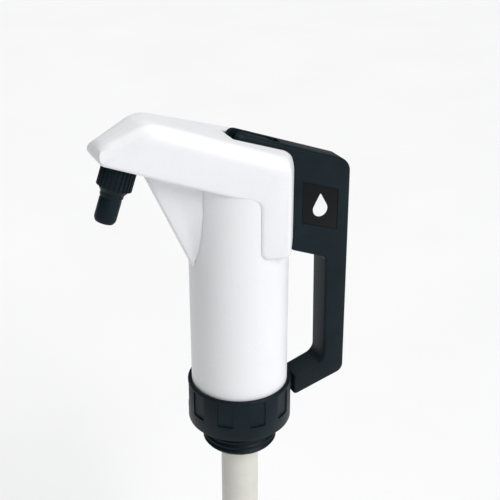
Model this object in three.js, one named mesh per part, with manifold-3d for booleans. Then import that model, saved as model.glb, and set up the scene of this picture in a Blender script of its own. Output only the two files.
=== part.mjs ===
// Lever barrel pump for a 2 inch drum bung, as a scene graph of separate parts.
// Millimetres, +Z up. Origin: centre of the drum's bung face. Spout to -X, lever to +X.
import * as THREE from 'three';
import { mergeVertices } from 'three/addons/utils/BufferGeometryUtils.js';
import Module from 'manifold-3d';

const wasm = await Module();
wasm.setup();

// ---------------------------------------------------------------- driving dimensions
const FIT = 0.3;                      // gap between parts that touch
const SEAL_GAP = 0.15;                // gap between a soft seal and the wall it runs on

// barrel
const BARREL_R = 38;
const BARREL_WALL = 3;
const BARREL_FOOT_Z = 15.3;
const RIM_Z = 162.5;                  // top of the barrel behind the head
const SHOULDER_W = 2;                 // ledge the gland plate is pushed against
const OUTLET_PORT_W = 12;
const OUTLET_PORT_Z = 147;

// head and spout (two shells, split on y = 0)
const SLOPE = 0.35;                   // rise of the spout, tangent of about 19 degrees
const HEAD_BACK_X = 38.2;
const HEAD_FOOT_Z = 155;
const NOSE_X = -108.4;
const NOSE_TOP_X = -105.6;
const NOSE_TOP_Z = 246.6;
const BROW_X = -71;                   // where the spout's top turns down to the nose
const BROW_Z = 262.3;
const UNDERSIDE_Z = 199;              // underside of the spout, at x = 0
const HEAD_HALF_W = 39.2;             // half width at x = 0
const HEAD_TAPER = 0.205;             // gain in half width per mm toward +X
const HEAD_WALL = 3.1;
const HEAD_EDGE_R = 3.6;
const PARTITION_X = -30.3;            // wall between the wet spout and the dry lever space
const SLOT_HALF_W = 12;
const SLOT_FRONT_X = -9;

// gusset: the riser duct under the spout
const GUSSET_FOOT = [-37.2, 141];
const GUSSET_RUN = [-37.8, 85];       // from the foot up to the spout
const GUSSET_HALF_W = 6.2;
const GUSSET_ROOT_HALF_W = 17;
const GUSSET_DEPTH = 30;
const GUSSET_WALL = 2.6;

// lever
const LEVER_HALF_W = 11;
const LEVER_SPINE_X = 89.4;
const LEVER_GRIP_X = 70.6;            // inner face of the grip
const LEVER_TOP_Z = 243.2;            // top line at x = -3
const LEVER_TOP_SLOPE = 0.368;
const LEVER_TIP_X = -6.5;
const LEVER_FOOT = [43.8, 12.3];      // lower tip of the leg
const LEG_THICK = 18;
const FORK_GAP_HALF_W = 4.9;
const PIVOT = [28, 213];
const PIVOT_PIN_R = 4;
const PIVOT_PIN_HALF_L = 21;
const BUSH_WALL = 2.2;
const CRANK_R = 22;
const CRANK_START_DEG = 137;
const LEVER_SWING_DEG = 105;
const CRANK_PIN_R = 3;
const LABEL = [[47.6, 199.6], [78.2, 188.4], [78.2, 155.2], [47.6, 165.6]];
const LABEL_DEPTH = 0.9;
const LABEL_THICK = 0.6;

// pump train
const SLOT_PLAY = 1.5;                // half of the free height of the crosshead's slot
const CROSSHEAD_HALF_W = 4.2;
const CROSSHEAD_WALL = 2;
const CROSSHEAD_FRONT_X = -2;
const CROSSHEAD_SINK = 0.6;           // how far the crosshead stays below the lever's top line
const CROSSHEAD_FOOT_H = 7;
const ROD_R = 4;
const ROD_FOOT_Z = 112;
const PISTON_Z = 119;                 // underside of the piston, lever closed
const PISTON_H = 12;
const PISTON_R = 34.4;
const PISTON_PORTS = 6;
const PISTON_PORT_R = 4.2;
const PISTON_PORT_RING_R = 19;
const VALVE_LIFT = 4;
const DISC_THICK = 2.4;

// gland plate
const DECK_Z = 157;
const DECK_H = 3.2;
const HUB_R = 12;
const HUB_FOOT_Z = 146;
const SEAL_R = 8.5;

// drum fitting
const COLLAR_WALL = 3.2;              // collar outside the barrel's skin
const COLLAR_R = BARREL_R + COLLAR_WALL;
const COLLAR_Z = 2;
const COLLAR_TOP_Z = 38;
const COLLAR_PANELS = 10;
const COLLAR_PANEL_DEPTH = 1.3;
const THREAD_R = 29.8;                // 2 inch parallel pipe thread
const THREAD_DEPTH = 1.5;
const THREAD_TURNS = 4;
const THREAD_FOOT_Z = -20;
const GASKET_H = 2;
const GASKET_R = 37;
const FOOT_PORT_R = 12.5;
const FOOT_DISC_R = 17;
const FOOT_LIFT = 5;

// outlet
const OUTLET_X = -88.6;               // where the outlet's axis meets the underside
const SPIGOT_R = 9.4;
const SPIGOT_BORE_R = 6.4;
const NUT_R = 12.8;
const NUT_H = 20;
const NUT_RIBS = 24;
const NOZZLE_R = 8.5;
const NOZZLE_END = 42.6;
const NOZZLE_BORE_R = 5;

// telescopic suction tube
const TUBE_R = 15.2;
const TUBE_WALL = 1.6;
const TUBE_STEP = 2.6;                // each section's radius is smaller by this
const TUBE_TOP_Z = 8;
const TUBE_FOOT_Z = -300;
const TUBE_STAGGER = 16;                // each section ends this much lower than the one outside it

const FINE = 36;
const ROUND = 24;
const SMALL = 18;

// ---------------------------------------------------------------- materials
const finish = (color, roughness, metalness = 0) =>
  new THREE.MeshStandardMaterial({ color, roughness, metalness });
const WHITE = finish(0xf0f1f4, 0.45);
const BLACK = finish(0x1b2226, 0.55);
const LABEL_BLACK = finish(0x101314, 0.3);
const RUBBER = finish(0x2a2a2c, 0.85);
const NATURAL = finish(0xe4e4dc, 0.5);
const STEEL = finish(0xb9bcc0, 0.3, 1);

// ---------------------------------------------------------------- shape helpers
const topZ = (x) => BROW_Z - SLOPE * (x - BROW_X);
const undersideZ = (x) => UNDERSIDE_Z - SLOPE * x;
const leverTopZ = (x) => LEVER_TOP_Z - LEVER_TOP_SLOPE * (x + 3);
const deg = (d) => (d * Math.PI) / 180;

/** Corner points [x, y, radius] to a list of points with the corners rounded. */
function rounded(corners, steps = 5) {
  const out = [];
  const n = corners.length;
  corners.forEach(([x, y, r = 0], i) => {
    const here = new THREE.Vector2(x, y);
    if (!r) { out.push(here); return; }
    const to = (j) => new THREE.Vector2(corners[j][0], corners[j][1]).sub(here);
    const a = to((i + n - 1) % n);
    const b = to((i + 1) % n);
    const la = a.length();
    const lb = b.length();
    a.normalize();
    b.normalize();
    const half = Math.acos(THREE.MathUtils.clamp(a.dot(b), -1, 1)) / 2;
    const reach = Math.min(r / Math.tan(half), la * 0.49, lb * 0.49);
    const rad = reach * Math.tan(half);
    const centre = a.clone().add(b).normalize().multiplyScalar(rad / Math.sin(half)).add(here);
    const p0 = here.clone().addScaledVector(a, reach).sub(centre);
    const p1 = here.clone().addScaledVector(b, reach).sub(centre);
    const a0 = Math.atan2(p0.y, p0.x);
    let sweep = Math.atan2(p1.y, p1.x) - a0;
    if (sweep > Math.PI) sweep -= 2 * Math.PI;
    if (sweep < -Math.PI) sweep += 2 * Math.PI;
    for (let k = 0; k <= steps; k++) {
      const t = a0 + (sweep * k) / steps;
      out.push(new THREE.Vector2(centre.x + rad * Math.cos(t), centre.y + rad * Math.sin(t)));
    }
  });
  return out;
}

/** Signed volume of an indexed geometry: negative when it is inside out. */
function signedVolume(geometry) {
  const p = geometry.attributes.position;
  const index = geometry.index.array;
  const [a, b, c] = [new THREE.Vector3(), new THREE.Vector3(), new THREE.Vector3()];
  let total = 0;
  for (let i = 0; i < index.length; i += 3) {
    a.fromBufferAttribute(p, index[i]);
    b.fromBufferAttribute(p, index[i + 1]);
    c.fromBufferAttribute(p, index[i + 2]);
    total += a.dot(b.cross(c));
  }
  return total / 6;
}

/** Weld the corners, drop empty triangles and turn every face outward. */
function closed(geometry) {
  geometry.deleteAttribute('normal');
  geometry.deleteAttribute('uv');
  const welded = mergeVertices(geometry, 1e-4);
  const from = welded.index.array;
  const index = [];
  for (let i = 0; i < from.length; i += 3) {
    const [a, b, c] = [from[i], from[i + 1], from[i + 2]];
    if (a !== b && b !== c && c !== a) index.push(a, b, c);
  }
  welded.setIndex(index);
  if (signedVolume(welded) < 0) {
    for (let i = 0; i < index.length; i += 3) [index[i], index[i + 1]] = [index[i + 1], index[i]];
    welded.setIndex(index);
  }
  welded.computeVertexNormals();
  return welded;
}

function toSolid(geometry) {
  return new wasm.Manifold(new wasm.Mesh({
    numProp: 3,
    vertProperties: Float32Array.from(geometry.attributes.position.array),
    triVerts: Uint32Array.from(geometry.index.array),
  }));
}

function fromSolid(solid) {
  const mesh = solid.getMesh();
  const geometry = new THREE.BufferGeometry();
  geometry.setAttribute('position', new THREE.BufferAttribute(mesh.vertProperties, 3));
  geometry.setIndex(new THREE.BufferAttribute(mesh.triVerts, 1));
  return closed(geometry);
}

const unite = (first, ...rest) =>
  fromSolid(rest.reduce((s, g) => s.add(toSolid(g)), toSolid(first)));
const cut = (first, ...rest) =>
  fromSolid(rest.reduce((s, g) => s.subtract(toSolid(g)), toSolid(first)));
const common = (first, ...rest) =>
  fromSolid(rest.reduce((s, g) => s.intersect(toSolid(g)), toSolid(first)));

/** Side profile in (x, z), extruded from y0 to y1. */
function sidePrism(points, y0, y1) {
  const g = new THREE.ExtrudeGeometry(new THREE.Shape(points), { depth: y1 - y0, bevelEnabled: false });
  return closed(g.rotateX(Math.PI / 2).translate(0, y1, 0));
}

/** Plan outline in (x, y), extruded from z0 to z1. */
function planPrism(points, z0, z1) {
  const g = new THREE.ExtrudeGeometry(new THREE.Shape(points), { depth: z1 - z0, bevelEnabled: false });
  return closed(g.translate(0, 0, z0));
}

/** Box from its lower to its upper corner. */
function box(x0, x1, y0, y1, z0, z1) {
  const g = new THREE.BoxGeometry(x1 - x0, y1 - y0, z1 - z0);
  return closed(g.translate((x0 + x1) / 2, (y0 + y1) / 2, (z0 + z1) / 2));
}

/** Profile [radius, z] turned about the Z axis; it ends on the axis or closes on itself. */
function turned(profile, segments = ROUND) {
  const points = profile.map(([r, z]) => new THREE.Vector2(r, z));
  return closed(new THREE.LatheGeometry(points, segments).rotateX(Math.PI / 2));
}

/** Ring with a rectangular section. */
const ring = (r0, r1, z0, z1, segments = ROUND) =>
  turned([[r0, z0], [r1, z0], [r1, z1], [r0, z1], [r0, z0]], segments);

/** Solid cylinder along Z. */
const rod = (r, z0, z1, segments = ROUND) =>
  turned([[0, z0], [r, z0], [r, z1], [0, z1]], segments);

/** Solid cylinder along Y through (x, z). */
function crossRod(x, z, r, y0, y1, segments = SMALL) {
  const g = new THREE.CylinderGeometry(r, r, y1 - y0, segments);
  return closed(g.translate(x, (y0 + y1) / 2, z));
}

const mirrored = (geometry) => closed(geometry.clone().scale(1, -1, 1));
const points2 = (list) => list.map(([x, y]) => new THREE.Vector2(x, y));

// ---------------------------------------------------------------- scene graph
const root = new THREE.Group();
root.name = 'drum_barrel_pump';

function part(name, geometry, material) {
  const mesh = new THREE.Mesh(geometry, material);
  mesh.name = name;
  root.add(mesh);
  return mesh;
}

// ---------------------------------------------------------------- barrel
const BORE_R = BARREL_R - BARREL_WALL;
const FRONT_WALL_X = 3;               // the tall front half of the barrel ends under the cheeks

/** Side region the barrel fills: tall in front under the spout, low behind. */
function barrelRegion(grow) {
  const front = -BARREL_R - 5;
  const back = BARREL_R + 5;
  return points2([
    [front, 0], [back, 0], [back, RIM_Z + grow], [FRONT_WALL_X + grow, RIM_Z + grow],
    [FRONT_WALL_X + grow, undersideZ(FRONT_WALL_X) + HEAD_WALL + grow],
    [front, undersideZ(front) + HEAD_WALL + grow],
  ]);
}

const LAND_R = BARREL_R - 1.6;        // plain land inside the collar, under the thread
const THREAD_PITCH = 6;

function makeBarrel() {
  const tube = turned([
    [BORE_R, BARREL_FOOT_Z], [LAND_R, BARREL_FOOT_Z],
    ...[0, 1, 2].flatMap((i) => {
      const z = 19 + i * THREAD_PITCH;
      return [[LAND_R, z], [BARREL_R - 0.1, z + 0.6], [BARREL_R - 0.1, z + 1.6], [LAND_R, z + 2.2]];
    }),
    [LAND_R, 36.5], [BARREL_R, 36.5], [BARREL_R, 230],
    [BORE_R - SHOULDER_W, 230], [BORE_R - SHOULDER_W, DECK_Z + DECK_H + FIT],
    [BORE_R, DECK_Z + DECK_H + FIT], [BORE_R, BARREL_FOOT_Z],
  ], FINE);
  const shaped = common(tube, sidePrism(barrelRegion(0), -60, 60));
  const half = OUTLET_PORT_W / 2;
  const port = box(-BARREL_R - 2, -BORE_R + 6, -half, half, OUTLET_PORT_Z, DECK_Z - 0.6);
  return cut(shaped, port);
}
part('barrel', makeBarrel(), WHITE);

// ---------------------------------------------------------------- head shells
/** Half of the head seen from the side, pushed in along Y from its tapered outer face. */
function headHalf(profile, inset, edge) {
  const bevel = edge > 0
    ? { bevelEnabled: true, bevelThickness: edge, bevelSize: edge, bevelOffset: -edge, bevelSegments: 4 }
    : { bevelEnabled: false };
  const g = new THREE.ExtrudeGeometry(new THREE.Shape(profile), { depth: 70, ...bevel });
  const tapered = new THREE.Vector3(1, -HEAD_TAPER, 0);
  const place = new THREE.Matrix4().makeBasis(tapered, new THREE.Vector3(0, 0, 1), new THREE.Vector3(0, 1, 0));
  place.setPosition(0, -HEAD_HALF_W + inset * Math.hypot(1, HEAD_TAPER) + Math.max(edge, 0), 0);
  return closed(g.applyMatrix4(place));
}

/** Prism along the gusset's front line: narrow in front, wider toward the barrel. */
function gussetPrism(inset, t0, t1) {
  const [dx, dz] = GUSSET_RUN;
  const length = Math.hypot(dx, dz);
  const up = new THREE.Vector3(dx / length, 0, dz / length);
  const back = new THREE.Vector3(dz / length, 0, -dx / length);
  const side = new THREE.Vector3(0, 1, 0);
  const flare = (GUSSET_ROOT_HALF_W - GUSSET_HALF_W) / GUSSET_DEPTH;
  const w = (d) => GUSSET_HALF_W + flare * d - inset;
  const nose = inset ? 0.6 : 2.4;
  const outline = rounded([
    [inset, -w(inset), nose], [60, -w(60)], [60, w(60)], [inset, w(inset), nose],
  ], 3);
  const g = new THREE.ExtrudeGeometry(new THREE.Shape(outline), { depth: t1 - t0, bevelEnabled: false });
  const place = new THREE.Matrix4().makeBasis(back, side, up);
  place.setPosition(new THREE.Vector3(GUSSET_FOOT[0], 0, GUSSET_FOOT[1]).addScaledVector(up, t0));
  return closed(g.applyMatrix4(place));
}

const headProfile = rounded([
  [NOSE_X, undersideZ(NOSE_X), 4.5], [NOSE_TOP_X, NOSE_TOP_Z, 5], [BROW_X, BROW_Z, 9],
  [HEAD_BACK_X, topZ(HEAD_BACK_X), 9], [HEAD_BACK_X, HEAD_FOOT_Z, 4],
  [-0.2, HEAD_FOOT_Z, 7], [-0.2, UNDERSIDE_Z, 5],
]);

/** Plan outline of the head's back, which follows the barrel round to the lever. */
function backOutline(grow) {
  return points2([
    [-140, -60], [21.8 + grow, -60], [21.8 + grow, -43 - grow], [24.6 + grow, -39 - grow],
    [36.4 + grow, -18], [HEAD_BACK_X + grow, -12], [HEAD_BACK_X + grow, 12],
    [36.4 + grow, 18], [24.6 + grow, 39 + grow], [21.8 + grow, 43 + grow], [21.8 + grow, 60], [-140, 60],
  ]);
}

function makeHeadShell() {
  const outer = common(
    headHalf(headProfile, 0, HEAD_EDGE_R), planPrism(backOutline(0), 100, 300),
  );
  const gusset = common(gussetPrism(0, -2, 98), box(-90, -28, -40, 40, 140, 245));
  const body = unite(outer, gusset);

  const w = HEAD_WALL;
  const wetX = PARTITION_X - w;
  const wet = headHalf(rounded([
    [NOSE_X + w + 1.4, undersideZ(NOSE_X + w) + w, 3], [NOSE_TOP_X + w, NOSE_TOP_Z - 2, 3],
    [BROW_X + 0.6, BROW_Z - w - 0.3, 6], [wetX, topZ(wetX) - w], [wetX, undersideZ(wetX) + w],
  ]), w, 0);
  const dry = common(headHalf(points2([
    [PARTITION_X, undersideZ(PARTITION_X) + w], [PARTITION_X, topZ(PARTITION_X) - w],
    [HEAD_BACK_X - w, topZ(HEAD_BACK_X - w) - w], [HEAD_BACK_X - w, HEAD_FOOT_Z + w],
    [FRONT_WALL_X, HEAD_FOOT_Z + w], [FRONT_WALL_X, undersideZ(FRONT_WALL_X) + w],
  ]), w, 0), planPrism(backOutline(-w), 100, 300));
  const duct = common(gussetPrism(GUSSET_WALL, 3, 96), box(-90, -38, -40, 40, 146, 240));
  const barrelRoom = common(rod(BARREL_R + FIT, 0, 240, FINE), sidePrism(barrelRegion(FIT), -60, 60));

  // lever slot, pivot lug with its blind hole, outlet hole
  const slot = box(SLOT_FRONT_X, 60, -SLOT_HALF_W, SLOT_HALF_W, 100, 300);
  const lug = common(
    unite(
      crossRod(PIVOT[0], PIVOT[1], 8.5, -PIVOT_PIN_HALF_L - 4, -SLOT_HALF_W - FIT, ROUND),
      box(PIVOT[0] - 8.5, HEAD_BACK_X - 1, -SLOT_HALF_W - 4, -SLOT_HALF_W - FIT, 190, 240),
      box(PIVOT[0] - 2, PIVOT[0] + 2, -40, -SLOT_HALF_W - FIT, PIVOT[1] - 14, PIVOT[1]),
    ),
    outer,
  );
  const hole = crossRod(PIVOT[0], PIVOT[1], PIVOT_PIN_R + FIT, -PIVOT_PIN_HALF_L - FIT, 0);
  const outletHole = atOutlet(rod(SPIGOT_R + FIT, -20, 8, SMALL));

  const hollow = cut(body, wet, dry, duct, barrelRoom, slot);
  const full = cut(unite(hollow, lug), hole, outletHole, barrelRoom);
  return common(full, box(-150, 60, -60, -FIT / 2, 100, 300));
}

/** Places a shape made about Z, hanging down from z = 0, on the outlet's axis. */
function atOutlet(geometry) {
  const g = geometry.clone();
  g.rotateY(Math.atan(SLOPE)).translate(OUTLET_X, 0, undersideZ(OUTLET_X));
  return closed(g);
}

const leftShell = makeHeadShell();
part('head_shell_left', leftShell, WHITE);
part('head_shell_right', mirrored(leftShell), WHITE);

// ---------------------------------------------------------------- outlet
part('outlet_spigot', atOutlet(turned([
  [SPIGOT_BORE_R, HEAD_WALL + 2.4], [SPIGOT_R + 2.4, HEAD_WALL + 2.4], [SPIGOT_R + 2.4, HEAD_WALL + FIT],
  [SPIGOT_R, HEAD_WALL + FIT], [SPIGOT_R, -0.6], [SPIGOT_R - 0.6, -1.2],
  ...[0, 1, 2, 3].flatMap((i) => {
    const z = -3 - i * 2.4;
    return [[SPIGOT_R - 0.6, z], [SPIGOT_R, z - 0.5], [SPIGOT_R, z - 1], [SPIGOT_R - 0.6, z - 1.5]];
  }),
  [SPIGOT_R - 0.6, -13], [SPIGOT_BORE_R, -13], [SPIGOT_BORE_R, HEAD_WALL + 2.4],
], SMALL)), NATURAL);

function makeOutletNut() {
  const bore = SPIGOT_R + FIT;
  const body = turned([
    [bore, -0.8], [NUT_R - 0.8, -0.8], [NUT_R, -1.6], [NUT_R, -NUT_H + 3.6],
    [NUT_R - 3.2, -NUT_H], [NOZZLE_R + FIT, -NUT_H], [NOZZLE_R + FIT, -NUT_H + 2.4],
    [bore, -NUT_H + 2.4], [bore, -0.8],
  ], NUT_RIBS * 2);
  const grooves = Array.from({ length: NUT_RIBS }, (_, i) => {
    const g = new THREE.BoxGeometry(1.2, 1.5, NUT_H - 5.2).translate(NUT_R, 0, -NUT_H / 2 - 0.4);
    return closed(g.rotateZ((i * 2 * Math.PI) / NUT_RIBS));
  });
  return atOutlet(cut(body, ...grooves));
}
part('outlet_nut', makeOutletNut(), BLACK);

const NOZZLE_FLANGE_Z = -NUT_H + 2.4 + FIT;
part('nozzle', atOutlet(turned([
  [NOZZLE_BORE_R, NOZZLE_FLANGE_Z + 1.8], [SPIGOT_R, NOZZLE_FLANGE_Z + 1.8], [SPIGOT_R, NOZZLE_FLANGE_Z],
  [NOZZLE_R, NOZZLE_FLANGE_Z], [NOZZLE_R, -NUT_H - 3.4], [NOZZLE_R - 0.5, -NUT_H - 4],
  [NOZZLE_R - 0.5, -NOZZLE_END + 2.6], [NOZZLE_R - 2, -NOZZLE_END],
  [NOZZLE_BORE_R, -NOZZLE_END], [NOZZLE_BORE_R, NOZZLE_FLANGE_Z + 1.8],
], ROUND)), BLACK);
part('nozzle_gasket', atOutlet(
  ring(NOZZLE_BORE_R + 0.6, SPIGOT_R - 0.2, NOZZLE_FLANGE_Z + 1.8 + FIT / 2, -13 - FIT / 2, SMALL),
), RUBBER);

// ---------------------------------------------------------------- gland plate
const PLATE_R = BORE_R - SEAL_GAP;
part('gland_plate', turned([
  [ROD_R + FIT, DECK_Z + DECK_H], [PLATE_R, DECK_Z + DECK_H], [PLATE_R, DECK_Z],
  [HUB_R, DECK_Z], [HUB_R, HUB_FOOT_Z], [SEAL_R, HUB_FOOT_Z], [SEAL_R, DECK_Z - 3],
  [ROD_R + FIT, DECK_Z - 3], [ROD_R + FIT, DECK_Z + DECK_H],
], FINE), NATURAL);
part('rod_seal', ring(ROD_R + SEAL_GAP, SEAL_R - SEAL_GAP, DECK_Z - 7, DECK_Z - 3 - SEAL_GAP, SMALL), RUBBER);
part('gland_retainer', ring(ROD_R + FIT, SEAL_R - SEAL_GAP, HUB_FOOT_Z, DECK_Z - 7 - SEAL_GAP, SMALL), NATURAL);

// ---------------------------------------------------------------- lever
const crank = [
  PIVOT[0] + CRANK_R * Math.cos(deg(CRANK_START_DEG)),
  PIVOT[1] + CRANK_R * Math.sin(deg(CRANK_START_DEG)),
];
const LEG_SLOPE = 0.3;
const PLATE_EDGE_SLOPE = 0.385;
const legFootZ = (x) => LEVER_FOOT[1] + LEG_SLOPE * (x - LEVER_FOOT[0]);
const plateEdgeZ = (x) => 144.3 - PLATE_EDGE_SLOPE * (x - 40);

const leverProfile = rounded([
  [LEVER_TIP_X, leverTopZ(LEVER_TIP_X), 6],
  [LEVER_SPINE_X - 1, leverTopZ(LEVER_SPINE_X - 1), 11], [LEVER_SPINE_X, legFootZ(LEVER_SPINE_X), 7],
  [LEVER_FOOT[0], LEVER_FOOT[1], 2], [LEVER_FOOT[0], LEVER_FOOT[1] + LEG_THICK, 2],
  [LEVER_GRIP_X + 0.4, legFootZ(LEVER_GRIP_X) + LEG_THICK + 1.4, 9],
  [LEVER_GRIP_X - 1, plateEdgeZ(LEVER_GRIP_X), 5], [40, plateEdgeZ(40), 3], [40, 166, 3],
  [15, 166, 6], [6, 205, 10], [LEVER_TIP_X, leverTopZ(LEVER_TIP_X) - 16, 4],
]);

const BUSH_R = PIVOT_PIN_R + FIT + BUSH_WALL;

function makeLever() {
  const body = sidePrism(leverProfile, -LEVER_HALF_W, LEVER_HALF_W);
  const fork = sidePrism(points2([
    [-50, 150], [5.4, 150], [5.4, 200], [22, 210], [PIVOT[0] + 4, 219],
    [PIVOT[0] + 4, 290], [-50, 290],
  ]), -FORK_GAP_HALF_W, FORK_GAP_HALF_W);
  const pocket = sidePrism(points2(LABEL), -LEVER_HALF_W - 1, -LEVER_HALF_W + LABEL_DEPTH);
  return cut(
    body, fork, pocket, mirrored(pocket),
    crossRod(PIVOT[0], PIVOT[1], BUSH_R + FIT / 2, -20, 20, ROUND),
    crossRod(crank[0], crank[1], CRANK_PIN_R + FIT / 2, -20, 20),
  );
}
part('lever', makeLever(), BLACK);

/** Bush lining the pivot hole on one side of the lever. */
function makeBush() {
  const y1 = -FORK_GAP_HALF_W - 0.4;
  return cut(
    crossRod(PIVOT[0], PIVOT[1], BUSH_R, -LEVER_HALF_W, y1, ROUND),
    crossRod(PIVOT[0], PIVOT[1], PIVOT_PIN_R + FIT / 2, -30, 30),
  );
}
part('lever_bush_left', makeBush(), NATURAL);
part('lever_bush_right', mirrored(makeBush()), NATURAL);
part('pivot_pin', crossRod(PIVOT[0], PIVOT[1], PIVOT_PIN_R, -PIVOT_PIN_HALF_L, PIVOT_PIN_HALF_L), STEEL);
part('crank_pin', crossRod(crank[0], crank[1], CRANK_PIN_R, -LEVER_HALF_W + 0.4, LEVER_HALF_W - 0.4), STEEL);

const labelCentre = [
  LABEL.reduce((s, p) => s + p[0], 0) / 4, LABEL.reduce((s, p) => s + p[1], 0) / 4,
];
const labelOutline = points2(LABEL.map(([x, z]) => [
  x - Math.sign(x - labelCentre[0]) * FIT, z - Math.sign(z - labelCentre[1]) * FIT,
]));
const labelY = -LEVER_HALF_W + LABEL_DEPTH - FIT / 2;
const leftLabel = sidePrism(labelOutline, labelY - LABEL_THICK, labelY);
part('label_left', leftLabel, LABEL_BLACK);
part('label_right', mirrored(leftLabel), LABEL_BLACK);

// ---------------------------------------------------------------- crosshead, rod and piston
const pinReach = [                              // how far the crank pin wanders in x
  PIVOT[0] - CRANK_R, PIVOT[0] + CRANK_R * Math.cos(deg(CRANK_START_DEG + LEVER_SWING_DEG)),
];
const slotHalfH = CRANK_PIN_R + SLOT_PLAY;
const slotX = [pinReach[0] - CRANK_PIN_R - 0.9, pinReach[1] + CRANK_PIN_R + 0.9];
const headX = [Math.min(CROSSHEAD_FRONT_X, slotX[0] - CROSSHEAD_WALL), slotX[1] + CROSSHEAD_WALL];
const crossFootZ = crank[1] - slotHalfH - CROSSHEAD_FOOT_H;

const crossTopZ = (x) => leverTopZ(x) - CROSSHEAD_SINK;

function makeCrosshead() {
  const body = sidePrism(rounded([
    [headX[0], crank[1] - slotHalfH - CROSSHEAD_WALL, 3], [headX[0], crossTopZ(headX[0]), 4],
    [headX[1], crossTopZ(headX[1]), 1], [headX[1], crank[1] - slotHalfH - CROSSHEAD_WALL, 3],
    [ROD_R + 2.5, crossFootZ], [-ROD_R - 2.5, crossFootZ],
  ], 3), -CROSSHEAD_HALF_W, CROSSHEAD_HALF_W);
  const slot = sidePrism(rounded([
    [slotX[0], crank[1] - slotHalfH, 4.2], [slotX[0], crank[1] + slotHalfH, 4.2],
    [slotX[1], crank[1] + slotHalfH, 4.2], [slotX[1], crank[1] - slotHalfH, 4.2],
  ]), -20, 20);
  return cut(body, slot, rod(2.5 + FIT / 2, crossFootZ - 1, crossFootZ + 5, SMALL));
}
part('crosshead', makeCrosshead(), BLACK);

const pistonTop = PISTON_Z + PISTON_H;
part('piston_rod', turned([
  [0, ROD_FOOT_Z], [2.8, ROD_FOOT_Z], [2.8, PISTON_Z], [2.8, pistonTop - 3], [ROD_R, pistonTop - 3],
  [ROD_R, crossFootZ - FIT], [2.5, crossFootZ - FIT], [2.5, crossFootZ + 4.4], [0, crossFootZ + 4.4],
], SMALL), STEEL);

const GROOVE_R = PISTON_R - 4;
function makePiston() {
  const body = turned([
    [2.8 + FIT / 2, PISTON_Z], [PISTON_R, PISTON_Z], [PISTON_R, PISTON_Z + 4],
    [GROOVE_R, PISTON_Z + 4], [GROOVE_R, PISTON_Z + 8], [PISTON_R, PISTON_Z + 8],
    [PISTON_R, pistonTop], [ROD_R + FIT / 2, pistonTop], [ROD_R + FIT / 2, pistonTop - 3 - FIT],
    [2.8 + FIT / 2, pistonTop - 3 - FIT], [2.8 + FIT / 2, PISTON_Z],
  ], FINE);
  const ports = Array.from({ length: PISTON_PORTS }, (_, i) => closed(
    rod(PISTON_PORT_R, PISTON_Z - 2, pistonTop + 2, 16)
      .translate(PISTON_PORT_RING_R, 0, 0).rotateZ((i * 2 * Math.PI) / PISTON_PORTS),
  ));
  return cut(body, ...ports);
}
part('piston', makePiston(), NATURAL);
part('piston_seal', ring(
  GROOVE_R + SEAL_GAP, BORE_R - SEAL_GAP, PISTON_Z + 4 + SEAL_GAP, PISTON_Z + 8 - SEAL_GAP, FINE,
), RUBBER);
part('piston_valve_disc', ring(ROD_R + FIT, PISTON_PORT_RING_R + PISTON_PORT_R + 2.5,
  pistonTop + SEAL_GAP, pistonTop + SEAL_GAP + DISC_THICK), RUBBER);
const stopZ = pistonTop + SEAL_GAP + DISC_THICK + VALVE_LIFT + FIT;
part('valve_stop', ring(ROD_R + FIT / 2, 11, stopZ, stopZ + 2.4, SMALL), STEEL);
part('piston_nut', cut(
  planPrism(points2(Array.from({ length: 6 }, (_, i) => [8 * Math.cos(deg(60 * i)), 8 * Math.sin(deg(60 * i))])),
    PISTON_Z - 5.6, PISTON_Z - FIT),
  rod(2.8 + FIT / 2, 0, 200, SMALL),
), STEEL);

// ---------------------------------------------------------------- drum fitting
const collarInnerR = BARREL_R + 0.35;
const NECK_R = 30.4;

function makeCollar() {
  const body = turned([
    [39.0, COLLAR_Z], [COLLAR_R - 1, COLLAR_Z], [COLLAR_R, COLLAR_Z + 1], [COLLAR_R, COLLAR_TOP_Z - 0.8],
    [COLLAR_R - 0.8, COLLAR_TOP_Z], [collarInnerR, COLLAR_TOP_Z],
    ...[1, 0].flatMap((i) => {
      const z = 22 + i * THREAD_PITCH;
      return [[collarInnerR, z + 2], [LAND_R + 0.4, z + 1.6], [LAND_R + 0.4, z + 0.9], [collarInnerR, z + 0.5]];
    }),
    [collarInnerR, 9.2], [NECK_R + 0.4, 9.2], [NECK_R + 0.4, 5.4], [39.0, 5.4], [39.0, COLLAR_Z],
  ], FINE);
  const height = (COLLAR_TOP_Z - COLLAR_Z) * 0.6;
  const width = ((2 * Math.PI * COLLAR_R) / COLLAR_PANELS) * 0.5;
  const panels = Array.from({ length: COLLAR_PANELS }, (_, i) => {
    const g = new THREE.BoxGeometry(6, width, height);
    g.translate(COLLAR_R - COLLAR_PANEL_DEPTH + 3, 0, COLLAR_TOP_Z - 2.4 - height / 2);
    return closed(g.rotateZ(((i + 0.4) * 2 * Math.PI) / COLLAR_PANELS));
  });
  return cut(body, ...panels);
}
part('bung_collar', makeCollar(), BLACK);

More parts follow.
